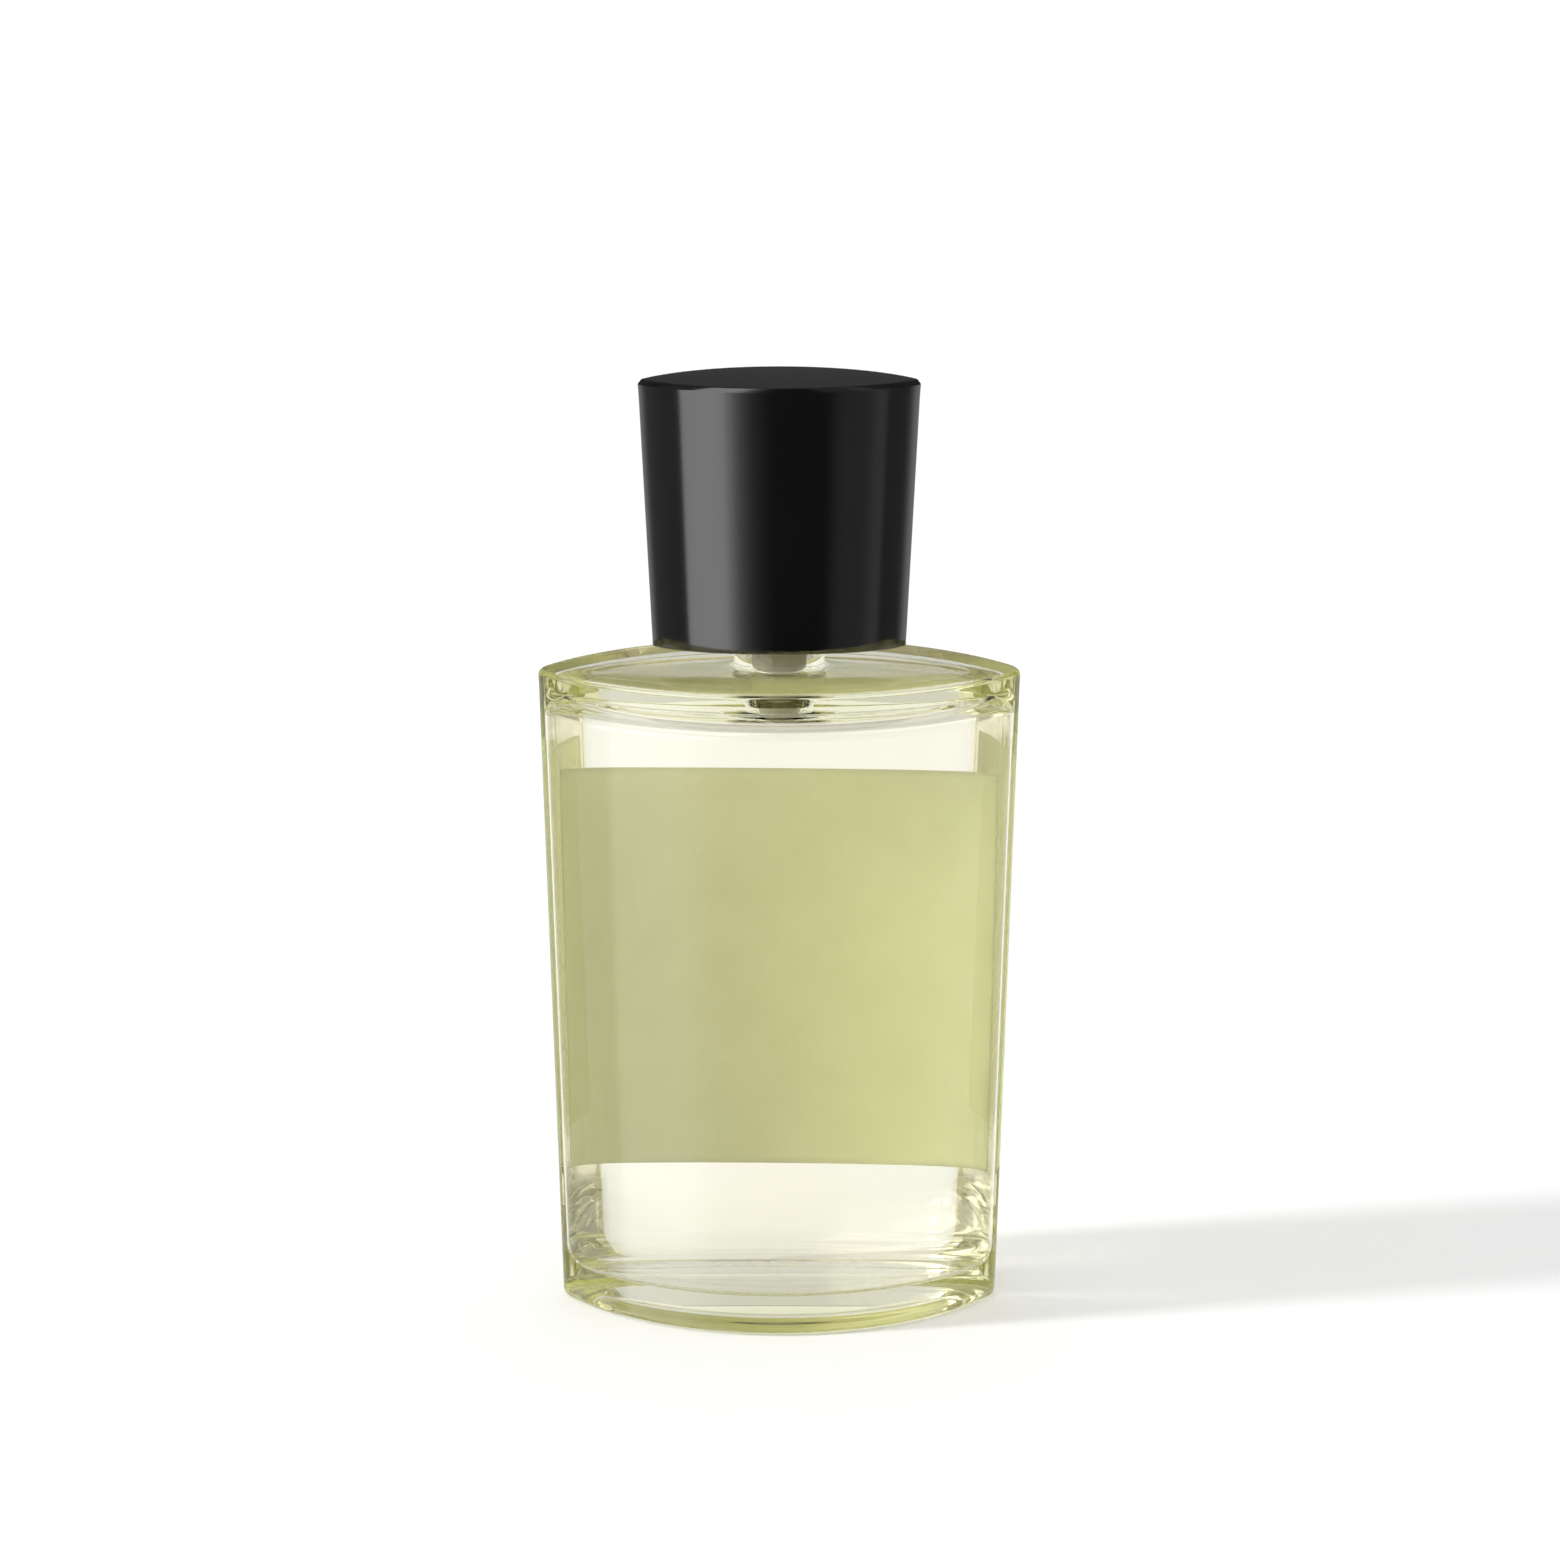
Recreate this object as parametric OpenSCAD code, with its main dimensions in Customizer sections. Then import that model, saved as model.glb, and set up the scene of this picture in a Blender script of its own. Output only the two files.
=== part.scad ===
// Splash bottle for aftershave: thick clear glass with a lens-shaped plan, a pale lotion,
// a paper label on the front face, and a tall black screw cap over a pour insert.
// Millimetres. +Z is up, the origin is the centre of the base, the label faces +Y.

/* [Glass body] */
// Width across the shoulder
shoulder_w = 70; // [60:0.5:80]
// Width across the base, over the same height of wall
base_w = 64.4; // [56:0.5:76]
// Depth of the plan over its width
plan_depth_ratio = 0.6; // [0.5:0.01:0.7]
// Height of the glass at the two side edges
shoulder_h = 95.4; // [80:0.5:110]
// Radius of the rounded side edges, in plan
side_edge_r = 4.5; // [3:0.1:6]
// Radius of the lower heel
heel_r = 1.2; // [0.6:0.1:2]
// Radius of the shoulder's upper edge
shoulder_edge_r = 0.9; // [0.4:0.1:1.5]
// Radius of the very slightly domed shoulder
shoulder_dome_r = 830; // [500:1:1200]

/* [Cavity] */
// Glass thickness at the middle of each face
face_wall = 3; // [2:0.1:5]
// Glass thickness at the side edges
side_wall = 2.2; // [2:0.1:6]
// Glass thickness under the cavity
floor_t = 5; // [3:0.1:8]
// Radius between the cavity's floor and wall
floor_r = 3; // [1:0.1:5]
// Glass thickness between the cavity's ceiling and the shoulder
ceiling_t = 4.1; // [3:0.1:6]
// Height of the vault that closes the cavity
vault_h = 3.5; // [2:0.1:10]
// How far the vault draws in at the side edges
vault_side = 9; // [2:0.5:12]
// How far the vault draws in at the two faces
vault_face = 11.6; // [4:0.1:12]
// Height of the lotion's surface
fill_h = 91.7; // [70:0.1:91.8]
// Depth of the hollow under the base
punt_depth = 1.3; // [0.6:0.1:2.5]

/* [Neck] */
// Radius of the neck
neck_r = 6.6; // [6:0.1:7]
// Radius of the neck's bore
bore_r = 4; // [3.5:0.1:4.5]
// Height of the neck's rim
rim_h = 112.8; // [110:0.1:115]
// Rise of the screw thread in one turn
thread_lead = 2.12; // [2:0.01:2.6]
// Height of the thread's ridge off the neck
thread_depth = 0.85; // [0.7:0.05:0.9]

/* [Cap] */
// Width of the cap at its top
cap_top_w = 40.6; // [38:0.2:46]
// Width of the cap at its lower rim
cap_rim_w = 36.7; // [35:0.1:42]
// Height of the cap's lower rim at its two side edges
cap_rim_h = 98.7; // [97:0.1:101]
// Height of the cap's top at its two side edges
cap_top_h = 137.6; // [130:0.1:145]
// Depth of the cap's plan over its width
cap_depth_ratio = 0.59; // [0.58:0.01:0.75]
// Radius of the cap's side edges, in plan
cap_edge_r = 1.2; // [0.5:0.1:2]
// Width of the bevel round the cap's top
cap_bevel = 0.5; // [0.3:0.1:1.5]
// Radius of the cap's slightly domed top
cap_dome_r = 460; // [150:1:800]
// Radius of the arch along the cap's lower rim
cap_rim_arch_r = 205; // [100:1:400]
// Thickness of the cap's black shell
cap_wall = 1.5; // [1.2:0.1:2]

/* [Label] */
// Width of the label, straight across
label_w = 56; // [40:1:58]
// Height of the label's lower edge
label_low = 18; // [12:0.5:24]
// Height of the label's upper edge
label_high = 78.8; // [60:0.1:82]
// Thickness of the paper and its glue
label_t = 0.12; // [0.1:0.01:0.2]

/* [Hidden] */
$fn = 96;
face_steps = 30;
edge_steps = 6;
fillet_steps = 4;
vault_steps = 7;
slice_t = 0.01;
gap = 0.05;
big = 200;

shoulder_a = shoulder_w / 2;
base_a = base_w / 2;
cap_top_a = cap_top_w / 2;
cap_rim_a = cap_rim_w / 2;
edge_ratio = side_edge_r / shoulder_a;
cap_edge_ratio = cap_edge_r / cap_top_a;
shoulder_top = shoulder_h + shoulder_dome_r - sqrt(pow(shoulder_dome_r, 2) - pow(shoulder_a, 2));
ceiling_h = shoulder_top - ceiling_t;

// The bore widens where it meets the cavity.
flare_h = 1.5;
flare_r = 0.9;
flare_low = ceiling_h - 0.6;

// Pour insert: a flange on the rim, a sealing tube down the bore that ends in a lip, and a nozzle.
flange_r = 6;
flange_t = 1;
tube_r = bore_r - 0.03;
tube_wall = 0.7;
lip_r = tube_r + 0.4;
lip_low = fill_h + 0.15;
nozzle_r = 2.45;
nozzle_hole_r = 1.5;
nozzle_len = 9;

// Stopper: a disc on the flange, with a pin in the nozzle's hole. The liner lies on it.
stopper_r = 7.2;
stopper_t = 1;
pin_r = 1.42;
pin_len = 3;
liner_r = 7.3;
liner_t = 1.2;

// The stack from the rim upwards.
flange_low = rim_h + gap;
stopper_low = flange_low + flange_t + gap;
liner_low = stopper_low + stopper_t + gap;
insert_ceiling = liner_low + liner_t + gap;

// Cap: a threaded insert that plates and ribs hold inside the shell.
insert_bore_r = neck_r + thread_depth + 0.25;
insert_wall = 1.2;
insert_low = cap_rim_h + 1.6;
insert_roof_t = 1.6;
plate_t = 1.4;
rib_t = 1.6;
cap_ceiling_t = 3;

// The neck's thread climbs 540 degrees. The cap's thread runs half a lead below it, from 150 to
// 600 degrees, so it comes free after 390 degrees of turn.
neck_thread_h = 105.4;
neck_thread_from = 0;
neck_thread_to = 540;
cap_thread_from = 150;
cap_thread_to = 600;
thread_root_w = 1.1;
thread_crest_w = 0.5;
thread_step = 15;
thread_taper = 45;
thread_sink = 0.35;

function blend(low, high, share) = low + (high - low) * share;

// Radius of the arc that runs along each face of a plan with half width a, half depth d and edge radius n.
function face_radius(a, d, n) = ((a - n) * (a - n) + d * d - n * n) / (2 * (d - n));

// The lens-shaped plan: two wide arcs joined by a small round edge at each side.
function lens_plan(a, d, n) =
    let (r = face_radius(a, d, n), turn = atan2(a - n, r - d))
    concat(
        [for (i = [0 : face_steps - 1]) let (t = -turn + 2 * turn * i / face_steps)
            [r * sin(t), d - r + r * cos(t)]],
        [for (i = [0 : edge_steps - 1]) let (t = turn + (180 - 2 * turn) * i / edge_steps)
            [a - n + n * sin(t), n * cos(t)]],
        [for (i = [0 : face_steps - 1]) let (t = 180 - turn + 2 * turn * i / face_steps)
            [r * sin(t), r - d + r * cos(t)]],
        [for (i = [0 : edge_steps - 1]) let (t = 180 + turn + (180 - 2 * turn) * i / edge_steps)
            [n - a + n * sin(t), n * cos(t)]]);

// Half width of the glass at a height: the wall is straight from base to shoulder.
function body_a(z) = blend(base_a, shoulder_a, z / shoulder_h);
function cap_a(z) = blend(cap_rim_a, cap_top_a, (z - cap_rim_h) / (cap_top_h - cap_rim_h));

// One thin slice of a plan. Side and face insets are separate, as the glass is not the same all round.
module slice(z, a, ratio, round_ratio, side_in = 0, face_in = 0) {
    half_w = a - side_in;
    half_d = a * ratio - face_in;
    edge = max(0.25, min(a * round_ratio, half_d * 0.5));
    translate([0, 0, z]) linear_extrude(slice_t) polygon(lens_plan(half_w, half_d, edge));
}

module body_slice(z, inset = 0) {
    slice(z, body_a(z), plan_depth_ratio, edge_ratio, inset, inset);
}

module cap_slice(z, inset = 0) {
    slice(z, cap_a(z), cap_depth_ratio, cap_edge_ratio, inset, inset);
}

// The cavity's slices. The glass has one thickness at the side edges and another at the faces.
module cavity_slice(z, side_in, face_in) {
    slice(z, body_a(z), plan_depth_ratio, edge_ratio, side_wall + side_in, face_wall + face_in);
}

module body_outside() {
    intersection() {
        hull() {
            for (i = [0 : fillet_steps]) let (t = 90 * i / fillet_steps)
                body_slice(heel_r * (1 - cos(t)), heel_r * (1 - sin(t)));
            for (i = [0 : fillet_steps]) let (t = 90 * i / fillet_steps)
                body_slice(shoulder_top - shoulder_edge_r * (1.4 - sin(t)), shoulder_edge_r * (1 - cos(t)));
            body_slice(shoulder_top + 1, shoulder_edge_r);
        }
        translate([0, 0, shoulder_top - shoulder_dome_r]) sphere(r = shoulder_dome_r, $fn = 240);
    }
}

// Everything inside the glass: rounded floor, straight wall and a vault. shrink makes the lotion's fit.
module cavity(shrink = 0) {
    vault_low = ceiling_h - vault_h;
    hull() {
        for (i = [0 : fillet_steps]) let (t = 90 * i / fillet_steps, draw = floor_r * (1 - sin(t)))
            cavity_slice(floor_t + shrink + floor_r * (1 - cos(t)), shrink + draw, shrink + draw);
        for (i = [0 : vault_steps]) let (t = 90 * i / vault_steps)
            cavity_slice(vault_low + (vault_h - shrink) * sin(t),
                shrink + vault_side * (1 - cos(t)), shrink + vault_face * (1 - cos(t)));
    }
}

module punt() {
    hull() {
        slice(-slice_t, base_a, plan_depth_ratio, edge_ratio, 5, 5);
        slice(punt_depth, base_a, plan_depth_ratio, edge_ratio, 9, 8);
    }
}

// A helical ridge as one swept trapezoid. side is 1 on the outside of a neck and -1 inside a cap.
module thread_ridge(wall_r, side, from_deg, to_deg, z_start) {
    rings = round((to_deg - from_deg) / thread_step);
    function taper(i) = min(1, min(i, rings - i) * thread_step / thread_taper);
    function ring(i) =
        let (deg = from_deg + (to_deg - from_deg) * i / rings,
             z = z_start + thread_lead * deg / 360,
             crest = wall_r + side * thread_depth * blend(0.02, 1, taper(i)),
             root = wall_r - side * thread_sink)
        [for (p = [[root, -thread_root_w / 2], [crest, -thread_crest_w / 2],
                   [crest, thread_crest_w / 2], [root, thread_root_w / 2]])
            [p[0] * cos(deg), p[0] * sin(deg), z + p[1]]];
    points = [for (i = [0 : rings]) each ring(i)];
    sides = [for (i = [0 : rings - 1], k = [0 : 3])
        let (p = 4 * i + k, q = 4 * i + (k + 1) % 4)
        each (side > 0 ? [[p, q, p + 4], [q, q + 4, p + 4]] : [[q, p, p + 4], [q + 4, q, p + 4]])];
    last = 4 * rings;
    ends = side > 0
        ? [[0, 3, 2], [0, 2, 1], [last, last + 1, last + 2], [last, last + 2, last + 3]]
        : [[2, 3, 0], [1, 2, 0], [last + 2, last + 1, last], [last + 3, last + 2, last]];
    polyhedron(points, concat(sides, ends));
}

// The neck's outside: a foot that flares into the shoulder, a carrying bead and a rounded rim.
module neck_outside() {
    foot_r = 0.7;
    foot_h = shoulder_top - 0.1;
    bead_h = 102.4;
    bead_r = 0.7;
    rim_r = 0.7;
    rotate_extrude() polygon(concat(
        [[0, foot_h - 1.5], [neck_r + foot_r, foot_h - 1.5]],
        [for (t = [0 : 15 : 90]) [neck_r + foot_r * (1 - sin(t)), foot_h + foot_r * (1 - cos(t))]],
        [for (t = [-90 : 15 : 90]) [neck_r + bead_r * cos(t), bead_h + bead_r * sin(t)]],
        [for (t = [0 : 15 : 90]) [neck_r - rim_r * (1 - cos(t)), rim_h - rim_r * (1 - sin(t))]],
        [[0, rim_h]]));
}

module bottle_glass() {
    color([0.93, 0.95, 0.88, 0.45]) difference() {
        union() {
            body_outside();
            neck_outside();
            thread_ridge(neck_r, 1, neck_thread_from, neck_thread_to, neck_thread_h);
        }
        cavity();
        punt();
        translate([0, 0, ceiling_h - 1]) cylinder(r = bore_r, h = rim_h - ceiling_h + 2);
        translate([0, 0, flare_low]) cylinder(r1 = bore_r + flare_r, r2 = bore_r, h = flare_h);
    }
}

module aftershave_lotion() {
    color([0.86, 0.84, 0.55, 0.7]) intersection() {
        cavity(gap);
        translate([-big / 2, -big / 2, 0]) cube([big, big, fill_h]);
    }
}

// A strip of the body's own outline, grown by the paper's thickness, cut to the label's size.
module front_label() {
    glue_gap = 0.02;
    low = label_low - 1;
    high = label_high + 1;
    color([0.93, 0.91, 0.80]) intersection() {
        difference() {
            hull() {
                body_slice(low, -glue_gap - label_t);
                body_slice(high, -glue_gap - label_t);
            }
            hull() {
                body_slice(low - 0.5, -glue_gap);
                body_slice(high + 0.5, -glue_gap);
            }
        }
        translate([-label_w / 2, 0, label_low]) cube([label_w, big, label_high - label_low]);
    }
}

// Moulded pour insert. The web under its flange carries the nozzle, so the tube is open below.
module pour_insert() {
    web_low = flange_low - 1.2;
    nozzle_low = flange_low - nozzle_len;
    top = flange_low + flange_t;
    color([0.88, 0.88, 0.82]) rotate_extrude() polygon([
        [nozzle_hole_r, top],
        [flange_r, top],
        [flange_r, flange_low],
        [tube_r, flange_low],
        [tube_r, flare_low + flare_h],
        [lip_r, lip_low + 0.3],
        [lip_r, lip_low],
        [tube_r - tube_wall, lip_low],
        [tube_r - tube_wall, web_low],
        [nozzle_r, web_low],
        [nozzle_r, nozzle_low],
        [nozzle_hole_r, nozzle_low]]);
}

// Soft stopper: a disc that the cap presses on the pour insert, and a pin in the nozzle.
module stopper() {
    pin_tip_r = 1.1;
    color([0.85, 0.85, 0.85]) translate([0, 0, stopper_low]) rotate_extrude() polygon([
        [0, stopper_t],
        [stopper_r, stopper_t],
        [stopper_r, 0],
        [pin_r, 0],
        [pin_r, 0.6 - pin_len],
        [pin_tip_r, -pin_len],
        [0, -pin_len]]);
}

// Foam disc between the stopper and the cap.
module cap_liner() {
    color("white") translate([0, 0, liner_low]) cylinder(r = liner_r, h = liner_t);
}

// Lens-shaped plate that fits the shell's inside.
module insert_plate(z, t) {
    hull() {
        cap_slice(z, cap_wall + gap);
        cap_slice(z + t - slice_t, cap_wall + gap);
    }
}

// Threaded insert: a tube over the neck, a plate at its foot and its roof, and ribs up to the shell.
module cap_thread_insert() {
    roof = insert_ceiling + insert_roof_t;
    rib_h = cap_top_h - cap_ceiling_t - gap - roof;
    color([0.12, 0.12, 0.12]) union() {
        difference() {
            union() {
                translate([0, 0, insert_low]) cylinder(r = insert_bore_r + insert_wall, h = roof - insert_low);
                insert_plate(insert_low, plate_t);
                insert_plate(roof - plate_t, plate_t);
            }
            translate([0, 0, insert_low - 1]) cylinder(r = insert_bore_r, h = insert_ceiling - insert_low + 1);
        }
        thread_ridge(insert_bore_r, -1, cap_thread_from, cap_thread_to, neck_thread_h - thread_lead / 2);
        translate([-13, -rib_t / 2, roof - 0.2]) cube([26, rib_t, rib_h + 0.2]);
        translate([-rib_t / 2, -7, roof - 0.2]) cube([rib_t, 14, rib_h + 0.2]);
    }
}

module cap_outside() {
    crown = cap_dome_r - sqrt(pow(cap_dome_r, 2) - pow(cap_top_a, 2));
    top = cap_top_h + crown;
    bevel_top_drop = 0.2;
    intersection() {
        hull() {
            cap_slice(cap_rim_h - 1);
            cap_slice(cap_top_h - bevel_top_drop - cap_bevel * 1.2);
            cap_slice(cap_top_h - bevel_top_drop, cap_bevel);
            cap_slice(top + 1, cap_bevel);
        }
        translate([0, 0, top - cap_dome_r]) sphere(r = cap_dome_r, $fn = 240);
    }
}

// Black shell: tapered, bevelled and slightly domed, open below, with its rim arched to match the shoulder.
module cap_shell() {
    color([0.05, 0.05, 0.05]) difference() {
        cap_outside();
        hull() {
            cap_slice(cap_rim_h - 2, cap_wall);
            cap_slice(cap_top_h - cap_ceiling_t, cap_wall);
        }
        translate([0, big / 2, cap_rim_h - sqrt(pow(cap_rim_arch_r, 2) - pow(cap_rim_a, 2))])
            rotate([90, 0, 0]) cylinder(r = cap_rim_arch_r, h = big, $fn = 240);
    }
}

bottle_glass();
aftershave_lotion();
front_label();
pour_insert();
stopper();
cap_liner();
cap_thread_insert();
cap_shell();
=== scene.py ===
from math import asin, atan2, cos, hypot, pi, radians, sin, sqrt

import bpy
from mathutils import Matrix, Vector

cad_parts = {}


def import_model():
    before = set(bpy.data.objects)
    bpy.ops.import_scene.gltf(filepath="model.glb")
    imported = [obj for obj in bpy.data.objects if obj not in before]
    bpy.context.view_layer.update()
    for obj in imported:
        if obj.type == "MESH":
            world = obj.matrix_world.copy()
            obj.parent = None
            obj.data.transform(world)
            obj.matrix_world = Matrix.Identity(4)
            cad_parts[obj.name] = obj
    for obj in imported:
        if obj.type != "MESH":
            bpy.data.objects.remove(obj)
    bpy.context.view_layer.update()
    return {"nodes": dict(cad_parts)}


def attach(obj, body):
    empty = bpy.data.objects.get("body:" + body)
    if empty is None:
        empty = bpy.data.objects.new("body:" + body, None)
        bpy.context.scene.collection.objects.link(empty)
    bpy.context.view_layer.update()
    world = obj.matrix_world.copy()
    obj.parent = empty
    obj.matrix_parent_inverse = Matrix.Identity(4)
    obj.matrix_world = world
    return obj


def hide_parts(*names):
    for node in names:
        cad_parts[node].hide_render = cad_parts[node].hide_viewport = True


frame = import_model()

MM = 0.001

# The bottle's driving sizes, in millimetres. They follow the part's own source.
SHOULDER_A = 35.0
BASE_A = 32.2
PLAN_DEPTH = 0.6
SHOULDER_H = 95.4
SIDE_EDGE_R = 4.5
SHOULDER_EDGE_R = 0.9
SHOULDER_DOME_R = 830.0
HEEL_R = 1.2
FACE_WALL = 3.0
SIDE_WALL = 2.2
FLOOR_T = 5.0
FLOOR_R = 3.0
CEILING_T = 4.1
VAULT_H = 3.5
VAULT_SIDE = 9.0
VAULT_FACE = 11.6
MOUTH_R = 4.54
MOUTH_RISE = 0.9
FILL_H = 91.7
PUNT_DEPTH = 1.3
# How far the punt's top and foot are set in at the side edges and at the faces.
PUNT_TOP_IN = (9, 8)
PUNT_FOOT_IN = (5, 5)
NECK_R = 6.6
BORE_R = 4.0
RIM_H = 112.8
THREAD_LEAD = 2.12
THREAD_DEPTH = 0.85
NECK_THREAD_H = 105.4
NECK_THREAD_TURN = 540.0
# The thread fades out over this share of a turn at each end.
NECK_THREAD_FADE = 0.12
NECK_THREAD_HALF_W = 0.62
NECK_THREAD_FLANK = 0.36
BEAD_H = 102.4
BEAD_R = 0.7
FOOT_R = 0.7
RIM_R = 0.7
BORE_LIP_R = 0.4
CAP_TOP_A = 20.3
CAP_RIM_A = 18.35
CAP_RIM_H = 98.7
CAP_TOP_H = 137.6
CAP_DEPTH = 0.59
CAP_EDGE_R = 1.2
CAP_BEVEL = 0.5
CAP_DOME_R = 460.0
CAP_RIM_ARCH_R = 205.0
CAP_WALL = 1.5
CAP_CEILING_T = 3.0
LABEL_W = 56.0
LABEL_LOW = 18.0
LABEL_HIGH = 78.8
# How far the label's top and bottom fall for each millimetre towards +X.
LABEL_SLANT = 0.014

# Points on each face and each side edge of a ring.
FACE_STEPS = 72
EDGE_STEPS = 24


# ---------------------------------------------------------------- plan curves

def blend(low, high, share):
    return low + (high - low) * share


def lens_radius(a, d, n):
    """The radius of the faces of a lens-shaped plan of half width a, half depth d and edge radius n."""
    return ((a - n) ** 2 + d * d - n * n) / (2 * (d - n))


def lens_plan(a, d, n):
    """The lens-shaped plan of half width a, half depth d and edge radius n, anticlockwise from above."""
    r = lens_radius(a, d, n)
    turn = atan2(a - n, r - d)
    points = []
    for side in (1, -1):
        for i in range(FACE_STEPS):
            t = turn - 2 * turn * i / FACE_STEPS
            points.append((side * r * sin(t), side * (d - r + r * cos(t))))
        for i in range(EDGE_STEPS):
            t = turn + (pi - 2 * turn) * i / EDGE_STEPS
            points.append((-side * (a - n + n * sin(t)), side * n * cos(t)))
    return points


def body_a(z):
    return blend(BASE_A, SHOULDER_A, z / SHOULDER_H)


def cap_a(z):
    return blend(CAP_RIM_A, CAP_TOP_A, (z - CAP_RIM_H) / (CAP_TOP_H - CAP_RIM_H))


def body_ring(z, side_in=0.0, face_in=0.0):
    """A ring of the bottle's plan at height z, with separate insets at its side edges and at its faces."""
    a = body_a(z)
    half_w = a - side_in
    half_d = a * PLAN_DEPTH - face_in
    n = max(0.25, min(a * SIDE_EDGE_R / SHOULDER_A, half_d * 0.5))
    return [(x, y, z) for x, y in lens_plan(half_w, half_d, n)]


def cap_ring(z, inset=0.0):
    """A ring of the cap's plan at height z, set in all round."""
    a = cap_a(z)
    n = max(0.25, a * CAP_EDGE_R / CAP_TOP_A)
    return [(x, y, z) for x, y in lens_plan(a - inset, a * CAP_DEPTH - inset, n)]


def dome(x, y, top, radius):
    """The height of a dome over a point of the plan."""
    return top - radius + sqrt(radius ** 2 - x * x - y * y)


def dome_rise(half_span, radius):
    """How far the middle of a dome stands above its points at half_span."""
    return radius - sqrt(radius ** 2 - half_span ** 2)


def round_ring(like, r, z):
    """A circle whose points lie at the same angles as those of another ring."""
    ring = []
    for x, y, _ in like:
        k = r / hypot(x, y)
        ring.append((x * k, y * k, z))
    return ring


def level(ring, height):
    """The same ring with each point at the height that height(x, y) gives."""
    return [(x, y, height(x, y)) for x, y, _ in ring]


def mix_rings(first, second, share):
    return [tuple(blend(p, q, share) for p, q in zip(a, b)) for a, b in zip(first, second)]


# ---------------------------------------------------------------- meshes

def skin(name, rings, start, end, body, replaces):
    """One smooth closed mesh through a list of rings, from a start point to an end point."""
    verts = [p for ring in rings for p in ring]
    faces = []
    size = len(rings[0])
    for k in range(len(rings) - 1):
        for i in range(size):
            j = (i + 1) % size
            faces.append((k * size + i, k * size + j, (k + 1) * size + j, (k + 1) * size + i))
    for point, at, flip in ((start, 0, True), (end, (len(rings) - 1) * size, False)):
        verts.append(point)
        tip = len(verts) - 1
        for i in range(size):
            j = (i + 1) % size
            faces.append((at + j, at + i, tip) if flip else (at + i, at + j, tip))
    return piece(name, verts, faces, body, replaces)


def piece(name, verts, faces, body, replaces):
    """A smooth-shaded mesh object from millimetre points, riding on a body and standing for CAD nodes."""
    mesh = bpy.data.meshes.new(name)
    mesh.from_pydata([(x * MM, y * MM, z * MM) for x, y, z in verts], [], faces)
    mesh.update()
    mesh.shade_smooth()
    obj = bpy.data.objects.new(name, mesh)
    bpy.context.scene.collection.objects.link(obj)
    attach(obj, body)
    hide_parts(*replaces)
    return obj


# ---------------------------------------------------------------- materials

def feed(tree, socket, value):
    """Links a socket to another one, or sets its own value."""
    if isinstance(value, bpy.types.NodeSocket):
        tree.links.new(value, socket)
    else:
        socket.default_value = value


class Nodes:
    """A short way to write a material's node tree."""

    def __init__(self, name):
        self.material = bpy.data.materials.new(name)
        self.material.use_nodes = True
        self.tree = self.material.node_tree
        self.shader = self.tree.nodes["Principled BSDF"]
        self.output = self.tree.nodes["Material Output"]

    def add(self, kind, **inputs):
        node = self.tree.nodes.new(kind)
        for key, value in inputs.items():
            feed(self.tree, node.inputs[key], value)
        return node

    def set(self, **inputs):
        for key, value in inputs.items():
            feed(self.tree, self.shader.inputs[key.replace("_", " ")], value)

    def noise(self, scale, detail, rough=0.5):
        coords = self.add("ShaderNodeTexCoord").outputs["Object"]
        node = self.add("ShaderNodeTexNoise", Vector=coords, Scale=scale, Detail=detail, Roughness=rough)
        return node.outputs["Fac"]

    def remap(self, value, low, high, to_low, to_high):
        node = self.add("ShaderNodeMapRange", Value=value)
        for name, number in (("From Min", low), ("From Max", high), ("To Min", to_low), ("To Max", to_high)):
            node.inputs[name].default_value = number
        return node.outputs["Result"]

    def mix(self, share, first, second):
        node = self.tree.nodes.new("ShaderNodeMix")
        node.data_type = "RGBA"
        # The mix node's colour sockets are its inputs 6 and 7 and its output 2.
        for socket, value in ((0, share), (6, first), (7, second)):
            feed(self.tree, node.inputs[socket], value)
        return node.outputs[2]

    def bump(self, height, strength, distance):
        node = self.add("ShaderNodeBump", Height=height, Strength=strength, Distance=distance)
        return node.outputs["Normal"]


def rgb(r, g, b):
    """Linear colour from screen values of 0 to 255."""
    def linear(v):
        v /= 255
        return v / 12.92 if v <= 0.04045 else ((v + 0.055) / 1.055) ** 2.4
    return (linear(r), linear(g), linear(b), 1.0)


def glass_material():
    m = Nodes("clear_glass")
    m.set(Base_Color=(0.985, 0.99, 0.975, 1.0), Roughness=0.0, IOR=1.5, Transmission_Weight=1.0)
    waves = m.noise(55.0, detail=1.0)
    m.set(Normal=m.bump(waves, 0.05, 0.0004))
    volume = m.add("ShaderNodeVolumeAbsorption", Color=(0.66, 0.65, 0.05, 1.0), Density=10.0)
    feed(m.tree, m.output.inputs["Volume"], volume.outputs[0])
    return m.material


def lotion_material():
    m = Nodes("straw_lotion")
    m.set(Base_Color=(1.0, 1.0, 1.0, 1.0), Roughness=0.0, IOR=1.36, Transmission_Weight=1.0)
    volume = m.add("ShaderNodeVolumeAbsorption", Color=(0.96, 0.80, 0.28, 1.0), Density=5.0)
    feed(m.tree, m.output.inputs["Volume"], volume.outputs[0])
    return m.material


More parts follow.
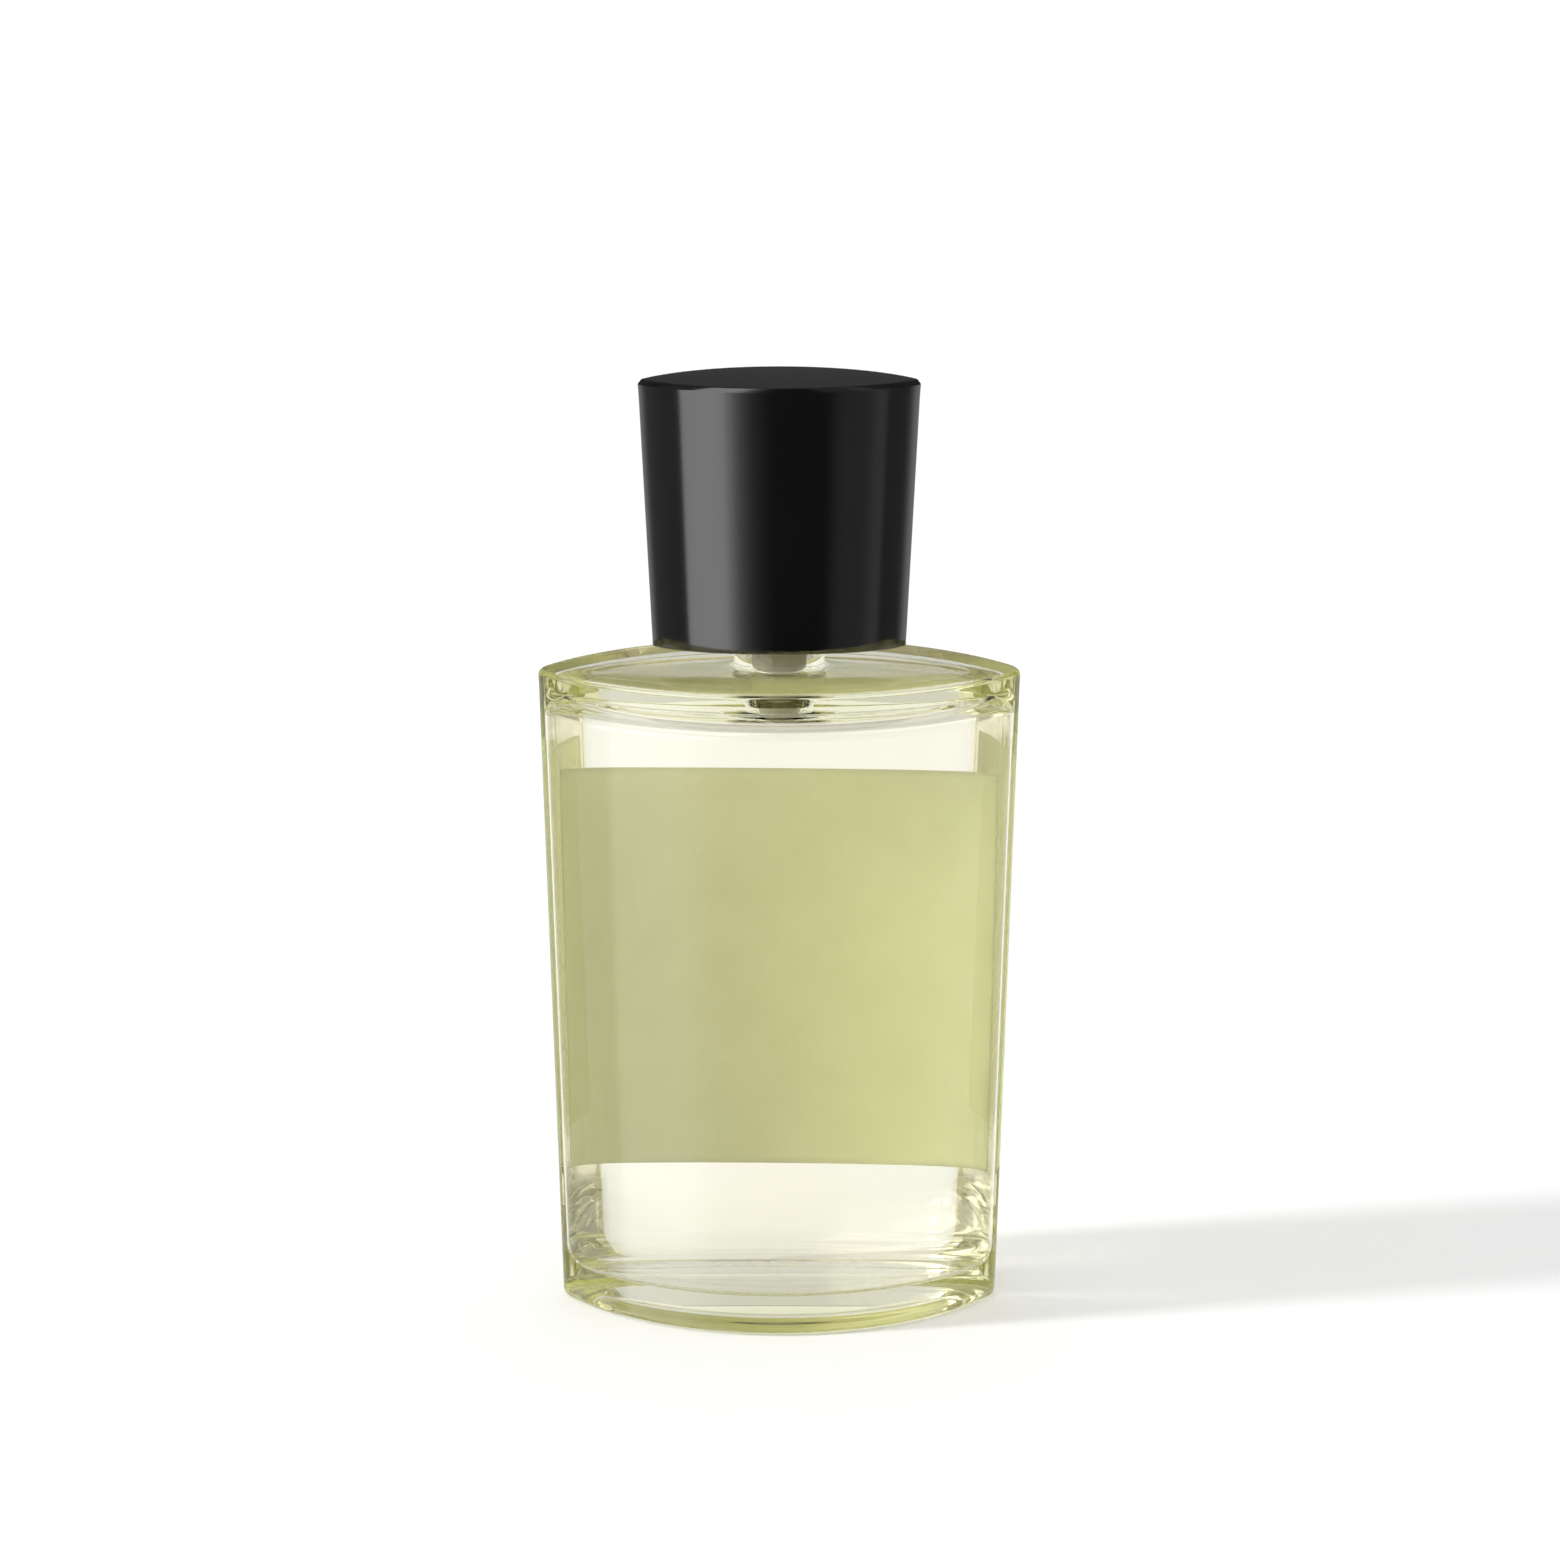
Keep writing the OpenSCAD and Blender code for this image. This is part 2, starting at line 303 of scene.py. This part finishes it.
def paper_material():
    m = Nodes("label_paper")
    fibres = m.noise(2600.0, detail=6.0, rough=0.7)
    clouds = m.noise(140.0, detail=3.0)
    shade = m.mix(m.remap(fibres, 0.3, 0.7, 0.0, 1.0), rgb(222, 226, 182), rgb(234, 237, 198))
    m.set(Base_Color=m.mix(m.remap(clouds, 0.35, 0.65, 0.0, 0.35), shade, rgb(216, 219, 170)))
    m.set(Roughness=m.remap(fibres, 0.3, 0.7, 0.75, 0.92))
    m.set(Normal=m.bump(fibres, 0.4, 0.00004))
    return m.material


def cap_material():
    m = Nodes("polished_black")
    haze = m.noise(90.0, detail=5.0)
    scuffs = m.noise(900.0, detail=8.0, rough=0.65)
    m.set(Base_Color=m.mix(haze, rgb(13, 13, 13), rgb(17, 17, 17)))
    m.set(Roughness=m.remap(scuffs, 0.3, 0.75, 0.05, 0.11), IOR=2.0)
    m.set(Normal=m.bump(scuffs, 0.03, 0.00002))
    return m.material


def moulded_material(name, dark, light, low_rough, high_rough, grain=1400.0, depth=0.00003):
    m = Nodes(name)
    spots = m.noise(grain, detail=5.0, rough=0.6)
    clouds = m.noise(grain / 12, detail=3.0)
    m.set(Base_Color=m.mix(m.remap(clouds, 0.35, 0.65, 0.0, 1.0), dark, light))
    m.set(Roughness=m.remap(spots, 0.3, 0.7, low_rough, high_rough))
    m.set(Normal=m.bump(spots, 0.35, depth))
    return m.material


# ---------------------------------------------------------------- the glass

SHOULDER_TOP = SHOULDER_H + dome_rise(SHOULDER_A, SHOULDER_DOME_R)
CEILING_H = SHOULDER_TOP - CEILING_T
VAULT_LOW = CEILING_H - VAULT_H


def arc_steps(count, first=0.0):
    """Angles from the first one, in degrees, to a right angle. The results are in radians."""
    return [radians(blend(first, 90.0, i / count)) for i in range(count + 1)]


def shoulder_z(x, y):
    return dome(x, y, SHOULDER_TOP, SHOULDER_DOME_R)


def thread_height(turn, z):
    """How far the neck's thread stands out at an angle, in turns, and a height."""
    best = 0.0
    total = NECK_THREAD_TURN / 360
    for lap in range(2):
        along = turn + lap
        if along > total:
            continue
        fade = min(1.0, min(along, total - along) / NECK_THREAD_FADE)
        off = abs(z - (NECK_THREAD_H + THREAD_LEAD * along))
        profile = max(0.0, min(1.0, (NECK_THREAD_HALF_W - off) / NECK_THREAD_FLANK))
        profile = profile * profile * (3 - 2 * profile)
        best = max(best, THREAD_DEPTH * fade * profile)
    return best


def neck_rings(like):
    """Rings up the outside of the neck, with its thread and bead, and over the rim into the bore."""
    rings = []
    for t in arc_steps(6):
        r = NECK_R + FOOT_R * (1 - sin(t))
        rings.append(round_ring(like, r, shoulder_z(r, 0) + FOOT_R * (1 - cos(t))))
    low = rings[-1][0][2]
    high = RIM_H - RIM_R
    ring_spacing = 0.1
    steps = int((high - low) / ring_spacing)
    for k in range(1, steps + 1):
        z = blend(low, high, k / steps)
        bead = sqrt(max(0.0, BEAD_R ** 2 - (z - BEAD_H) ** 2))
        ring = []
        for x, y, _ in like:
            turn = (atan2(y, x) / (2 * pi)) % 1.0
            grow = (NECK_R + bead + thread_height(turn, z)) / hypot(x, y)
            ring.append((x * grow, y * grow, z))
        rings.append(ring)
    for t in arc_steps(5, 18):
        rings.append(round_ring(like, NECK_R - RIM_R * (1 - cos(t)), RIM_H - RIM_R * (1 - sin(t))))
    for t in arc_steps(4):
        rings.append(round_ring(like, BORE_R + BORE_LIP_R * (1 - sin(t)), RIM_H - BORE_LIP_R * (1 - cos(t))))
    return rings


def cavity_rings(grow=0.0, top=None):
    """Rings from the cavity's vault down to its floor, none above top. grow moves them out into the glass."""
    rings = []
    for t in reversed(arc_steps(24)):
        z = VAULT_LOW + (VAULT_H + grow) * sin(t)
        draw = 1 - cos(t)
        if top is None or z <= top:
            side_in = SIDE_WALL + VAULT_SIDE * draw - grow
            rings.append(body_ring(z, side_in, FACE_WALL + VAULT_FACE * draw - grow))
    for k in range(1, 12):
        z = blend(VAULT_LOW, FLOOR_T + FLOOR_R, k / 12)
        rings.append(body_ring(z, SIDE_WALL - grow, FACE_WALL - grow))
    for t in reversed(arc_steps(8)):
        draw = FLOOR_R * (1 - sin(t))
        z = FLOOR_T - grow + FLOOR_R * (1 - cos(t))
        rings.append(body_ring(z, SIDE_WALL - grow + draw, FACE_WALL - grow + draw))
    return rings


def shrink_to(ring, end, shares):
    """Rings between one ring and a point, for a flat or domed end."""
    return [[tuple(blend(p, q, s) for p, q in zip(point, end)) for point in ring] for s in shares]


def bottle_glass():
    """One closed skin: the punt, the outside, the neck and its bore, the cavity's ceiling, and the cavity."""
    punt_top = body_ring(0, *PUNT_TOP_IN)
    punt_foot = body_ring(0, *PUNT_FOOT_IN)
    rings = [level(r, lambda x, y: PUNT_DEPTH)
             for r in reversed(shrink_to(punt_top, (0, 0, 0), (0, 0.25, 0.5, 0.75)))]
    for s in (0.25, 0.5, 0.75, 1.0):
        ease = s * s * (3 - 2 * s)
        rings.append([(x, y, PUNT_DEPTH * (1 - ease)) for x, y, _ in mix_rings(punt_top, punt_foot, s)])
    for t in arc_steps(8):
        draw = HEEL_R * (1 - sin(t))
        rings.append(body_ring(HEEL_R * (1 - cos(t)), draw, draw))
    for k in range(1, 24):
        rings.append(body_ring(blend(HEEL_R, SHOULDER_H - 2, k / 23)))
    for t in arc_steps(8):
        draw = SHOULDER_EDGE_R * (1 - cos(t))
        ring = body_ring(SHOULDER_H, draw, draw)
        rings.append(level(ring, lambda x, y: shoulder_z(x, y) - SHOULDER_EDGE_R * (1 - sin(t))))
    edge = rings[-1]
    foot = round_ring(edge, NECK_R + FOOT_R, SHOULDER_TOP)
    for k in range(1, 12):
        rings.append(level(mix_rings(edge, foot, k / 12), shoulder_z))
    rings += neck_rings(edge)
    mouth_top = CEILING_H + MOUTH_RISE
    rings += [round_ring(edge, BORE_R, z) for z in (RIM_H - 2, mouth_top + 0.15, mouth_top)]
    mouth = round_ring(edge, MOUTH_R, CEILING_H)
    rings.append(mouth)
    cavity = cavity_rings()
    for k in range(1, 8):
        rings.append(level(mix_rings(mouth, cavity[0], k / 8), lambda x, y: CEILING_H))
    rings += cavity
    rings += shrink_to(cavity[-1], (0, 0, FLOOR_T), (0.25, 0.5, 0.75))
    glass = skin("bottle_glass_body", rings, start=(0, 0, PUNT_DEPTH), end=(0, 0, FLOOR_T),
                 body="bottle", replaces=["bottle_glass"])
    glass.data.materials.append(glass_material())


def lotion():
    """The lotion reaches a little into the glass, so that no film of air shows between them."""
    reach = 0.06
    rings = cavity_rings(grow=reach, top=FILL_H)[::-1]
    floor_centre = (0, 0, FLOOR_T - reach)
    rings = shrink_to(rings[0], floor_centre, (0.6, 0.3)) + rings
    surface_centre = (0, 0, FILL_H)
    rings += [level(r, lambda x, y: FILL_H)
              for r in shrink_to(rings[-1], surface_centre, (0.0, 0.03, 0.3, 0.6))]
    liquid = skin("lotion_body", rings, start=floor_centre, end=surface_centre,
                  body="bottle", replaces=["aftershave_lotion"])
    liquid.data.materials.append(lotion_material())


def label():
    """Blank paper on the +Y face. Its glued side lies just inside the glass, with no air between them."""
    columns = 60
    rows = 40
    sink = 0.03
    proud = 0.12
    verts = []
    for out in (-sink, proud):
        for k in range(rows + 1):
            z = blend(LABEL_LOW, LABEL_HIGH, k / rows)
            a = body_a(z)
            half_d = a * PLAN_DEPTH
            n = a * SIDE_EDGE_R / SHOULDER_A
            r = lens_radius(a, half_d, n)
            for i in range(columns + 1):
                x = blend(-LABEL_W / 2, LABEL_W / 2, i / columns)
                t = asin(x / r)
                verts.append(((r + out) * sin(t), half_d - r + (r + out) * cos(t), z - LABEL_SLANT * x))
    wide = columns + 1
    layer = wide * (rows + 1)
    faces = []
    for k in range(rows):
        for i in range(columns):
            p = k * wide + i
            faces.append((p, p + 1, p + wide + 1, p + wide))
            faces.append((layer + p + 1, layer + p, layer + p + wide, layer + p + wide + 1))
    border = [(i, 0) for i in range(columns)] + [(columns, k) for k in range(rows)]
    border += [(i, rows) for i in range(columns, 0, -1)] + [(0, k) for k in range(rows, 0, -1)]
    edge = [k * wide + i for i, k in border]
    for p, q in zip(edge, edge[1:] + edge[:1]):
        faces.append((q, p, layer + p, layer + q))
    paper = piece("paper_label", verts, faces, "bottle", ["front_label"])
    paper.data.materials.append(paper_material())


# ---------------------------------------------------------------- the cap

CAP_TOP = CAP_TOP_H + dome_rise(CAP_TOP_A, CAP_DOME_R)


def cap_dome_z(x, y):
    return dome(x, y, CAP_TOP, CAP_DOME_R)


def cap_rim_z(x, y):
    return CAP_RIM_H - sqrt(CAP_RIM_ARCH_R ** 2 - CAP_RIM_A ** 2) + sqrt(CAP_RIM_ARCH_R ** 2 - x * x)


def cap_shell():
    """One closed skin: the inner ceiling and wall, the arched rim, the outside, the bevel and the dome."""
    chamfer = 0.25
    corner = 0.3
    ceiling = CAP_TOP_H - CAP_CEILING_T
    inner_top = cap_ring(ceiling, CAP_WALL + corner)
    rings = [level(r, lambda x, y: ceiling)
             for r in reversed(shrink_to(inner_top, (0, 0, 0), (0, 0.4, 0.8)))]
    rings.append(cap_ring(ceiling - corner, CAP_WALL))
    for k in range(1, 6):
        rings.append(cap_ring(blend(ceiling - corner, CAP_RIM_H + 2, k / 5), CAP_WALL))
    rings.append(level(cap_ring(CAP_RIM_H, CAP_WALL), lambda x, y: cap_rim_z(x, y) + chamfer))
    rings.append(level(cap_ring(CAP_RIM_H, CAP_WALL - chamfer), cap_rim_z))
    for t in arc_steps(4):
        draw = chamfer * (1 - sin(t))
        ring = cap_ring(CAP_RIM_H, draw)
        rings.append(level(ring, lambda x, y: cap_rim_z(x, y) + chamfer * (1 - cos(t))))
    for k in range(12):
        rings.append(cap_ring(blend(CAP_RIM_H + 2, CAP_TOP_H - 2.5, k / 11)))
    # The bevel's profile as (inset, height from the dome), with both of its corners softened.
    soft = 0.14
    bevel_drop = CAP_BEVEL * 1.25
    profile = [(0, -bevel_drop - soft), (0, -bevel_drop - soft * 0.4),
               (soft * 0.3, -bevel_drop + soft * 0.3), (CAP_BEVEL - soft * 0.4, -soft * 0.6),
               (CAP_BEVEL, -soft * 0.15), (CAP_BEVEL + soft * 0.6, 0)]
    for inset, height in profile:
        ring = cap_ring(CAP_TOP_H, inset)
        rings.append(level(ring, lambda x, y: cap_dome_z(x, y) + height))
    rings += [level(r, cap_dome_z) for r in shrink_to(rings[-1], (0, 0, 0), (0.05, 0.25, 0.5, 0.75))]
    shell = skin("cap_outer_shell", rings, start=(0, 0, ceiling), end=(0, 0, CAP_TOP),
                 body="cap", replaces=["cap_shell"])
    shell.data.materials.append(cap_material())


def dress_cad_nodes():
    """The small moulded pieces keep their CAD shape and get their own materials."""
    looks = {
        "cap_thread_insert": moulded_material(
            "black_moulding", rgb(20, 20, 20), rgb(30, 30, 30), 0.35, 0.5),
        # The pour insert's dark grey is painted shade: its milky natural polyethylene is darkened to the grey
        # it shows in shade down the neck's bore.
        "pour_insert": moulded_material(
            "shade_darkened_polyethylene", rgb(146, 142, 118), rgb(162, 158, 132), 0.3, 0.45),
        "stopper": moulded_material(
            "soft_polyethylene", rgb(226, 226, 220), rgb(238, 238, 233), 0.35, 0.5),
        "cap_liner": moulded_material(
            "liner_foam", rgb(228, 228, 222), rgb(244, 244, 240), 0.7, 0.9, grain=3000.0, depth=0.0001),
    }
    for name, material in looks.items():
        mesh = frame["nodes"][name].data
        mesh.materials.clear()
        mesh.materials.append(material)


# ---------------------------------------------------------------- the studio

CAMERA_X = 0.0001
CAMERA_DISTANCE = 0.693
CAMERA_PITCH = radians(12.9)
CAMERA_FOCUS_H = 0.07875
LENS_MM = 109.6


def camera():
    data = bpy.data.cameras.new("camera")
    data.lens = LENS_MM
    data.sensor_width = 36
    obj = bpy.data.objects.new("camera", data)
    obj.location = (CAMERA_X, -CAMERA_DISTANCE * cos(CAMERA_PITCH),
                    CAMERA_FOCUS_H + CAMERA_DISTANCE * sin(CAMERA_PITCH))
    obj.rotation_euler = (pi / 2 - CAMERA_PITCH, 0, 0)
    bpy.context.scene.collection.objects.link(obj)
    bpy.context.scene.camera = obj


def floor():
    half = 3.0
    mesh = bpy.data.meshes.new("floor")
    corners = [(-half, -half, 0), (half, -half, 0), (half, half, 0), (-half, half, 0)]
    mesh.from_pydata(corners, [], [(0, 1, 2, 3)])
    obj = bpy.data.objects.new("floor", mesh)
    bpy.context.scene.collection.objects.link(obj)
    m = Nodes("white_table")
    m.set(Base_Color=(0.9, 0.9, 0.9, 1.0), Roughness=0.9, Specular_IOR_Level=0.0)
    m.set(Emission_Color=(1.0, 1.0, 1.0, 1.0), Emission_Strength=0.1)
    mesh.materials.append(m.material)
    obj.visible_glossy = False


def sun(name, heading, height, spread, strength):
    """A far lamp. Its light travels towards heading, in degrees from +X to +Y, from height degrees up."""
    data = bpy.data.lights.new(name, "SUN")
    data.angle = radians(spread)
    data.energy = strength
    obj = bpy.data.objects.new(name, data)
    flat = cos(radians(height))
    travel = Vector((flat * cos(radians(heading)), flat * sin(radians(heading)), -sin(radians(height))))
    obj.rotation_euler = travel.to_track_quat("-Z", "Y").to_euler()
    obj.visible_glossy = False
    bpy.context.scene.collection.objects.link(obj)


# The world's strength round the bottle, as (degrees, strength). 0 degrees is straight towards the front, and
# the right-hand side is positive.
REFLECTED = [(-180, 1.1), (-125, 1.1), (-110, 0.2), (-84, 0.12), (-77, 0.4), (-72, 1.75), (-50, 1.9),
             (-38, 1.3), (-25, 0.35), (-13, 0.08), (0, 0.011), (30, 0.011), (48, 0.13), (66, 0.15),
             (80, 0.27), (88, 0.1), (104, 0.12), (122, 1.0), (180, 1.1)]
TRANSMITTED = [(-180, 1.05), (-110, 1.0), (-85, 1.3), (-70, 3.2), (-40, 3.2), (-20, 0.8), (0, 0.35),
               (60, 0.5), (110, 1.0), (180, 1.05)]
FRONT_SIDE = [(-180, 0), (-120, 0), (-85, 1), (85, 1), (120, 0), (180, 0)]
# How much of each is taken away behind the bottle, above the horizon.
REFLECTED_DIMMED = 0.92
TRANSMITTED_DIMMED = 0.08
DIFFUSE_STRENGTH = 1.0
CAMERA_STRENGTH = 1.35


def world():
    """Plain for the camera and for diffuse light. Reflected and transmitted rays see a studio each."""
    scene_world = bpy.data.worlds.new("studio")
    bpy.context.scene.world = scene_world
    scene_world.use_nodes = True
    tree = scene_world.node_tree
    tree.nodes.clear()

    def math(operation, first, second):
        node = tree.nodes.new("ShaderNodeMath")
        node.operation = operation
        feed(tree, node.inputs[0], first)
        feed(tree, node.inputs[1], second)
        return node.outputs[0]

    def curve(stops):
        """A smooth function of the angle through (degrees, result) stops, which run from -180 to 180."""
        node = tree.nodes.new("ShaderNodeFloatCurve")
        points = node.mapping.curves[0].points
        peak = max(result for _, result in stops)
        for k, (position, result) in enumerate(stops):
            x = (position + 180) / 360
            if k < 2:
                points[k].location = (x, result / peak)
            else:
                points.new(x, result / peak)
            points[k].handle_type = "AUTO_CLAMPED"
        node.mapping.update()
        feed(tree, node.inputs["Value"], math("DIVIDE", math("SUBTRACT", angle, -180), 360))
        return math("MULTIPLY", node.outputs[0], peak)

    def dimmed(strength, share):
        return math("MULTIPLY", strength, math("SUBTRACT", 1.0, math("MULTIPLY", high_behind, share)))

    def choose(share, first, second):
        node = tree.nodes.new("ShaderNodeMix")
        node.data_type = "FLOAT"
        # The mix node's number sockets are its inputs 2 and 3.
        for socket, value in ((0, share), (2, first), (3, second)):
            feed(tree, node.inputs[socket], value)
        return node.outputs[0]

    split = tree.nodes.new("ShaderNodeSeparateXYZ")
    feed(tree, split.inputs[0], tree.nodes.new("ShaderNodeTexCoord").outputs["Generated"])
    x, y, z = split.outputs
    angle = math("MULTIPLY", math("ARCTAN2", x, math("MULTIPLY", y, -1.0)), 180 / pi)
    above = math("GREATER_THAN", z, 0.0)
    high_behind = math("MULTIPLY", above, math("SUBTRACT", 1.0, curve(FRONT_SIDE)))
    # A ray that passed through glass is glossy too, so transmission is chosen after gloss.
    path = tree.nodes.new("ShaderNodeLightPath").outputs
    strength = choose(path["Is Glossy Ray"], DIFFUSE_STRENGTH, dimmed(curve(REFLECTED), REFLECTED_DIMMED))
    strength = choose(path["Is Transmission Ray"], strength, dimmed(curve(TRANSMITTED), TRANSMITTED_DIMMED))
    strength = choose(path["Is Camera Ray"], strength, CAMERA_STRENGTH)
    background = tree.nodes.new("ShaderNodeBackground")
    feed(tree, background.inputs["Color"], (0.8, 0.8, 0.8, 1.0))
    feed(tree, background.inputs["Strength"], strength)
    feed(tree, tree.nodes.new("ShaderNodeOutputWorld").inputs[0], background.outputs[0])


def light_paths():
    """Enough bounces for light to leave the thick glass, and no blur on glass seen after a diffuse bounce."""
    cycles = bpy.context.scene.cycles
    cycles.max_bounces = 40
    cycles.glossy_bounces = 32
    cycles.transmission_bounces = 32
    cycles.diffuse_bounces = 8
    cycles.blur_glossy = 0.0


camera()
floor()
world()
sun("left_softbox", heading=12, height=30, spread=7, strength=1.7)
light_paths()
bpy.context.scene.view_settings.view_transform = "Standard"

bottle_glass()
lotion()
label()
cap_shell()
dress_cad_nodes()
